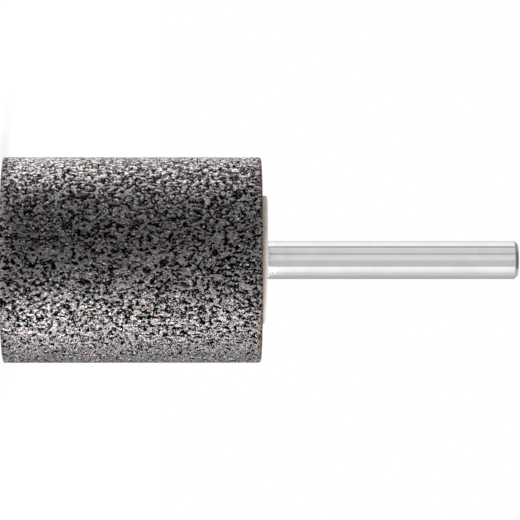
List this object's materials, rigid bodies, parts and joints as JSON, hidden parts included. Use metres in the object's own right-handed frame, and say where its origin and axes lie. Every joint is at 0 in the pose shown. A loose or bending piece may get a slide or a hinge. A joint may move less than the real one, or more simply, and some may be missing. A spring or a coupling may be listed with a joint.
{
  "type": "mounted point",
  "caption": "Cylindrical mounted point: a cylinder of dark bonded abrasive grain cemented with a pale collar on a plain round steel shank.",
  "frame": {"origin": "centre of the flat free end of the abrasive, on which the part stands", "axes": "+Z along the tool's axis, from the free end of the abrasive to the end of the shank"},
  "size_m": [0.032, 0.032, 0.08],
  "materials": {
    "abrasive": "open bonded grain, dressed, dark grey with bright facets and black pores",
    "cement": "matte cast cement, pale beige",
    "steel": "bright ground steel"
  },
  "bodies": {
    "root": {"abrasive_cylinder": "abrasive", "cement_collar": "cement", "shank": "steel"}
  },
  "joints": []
}
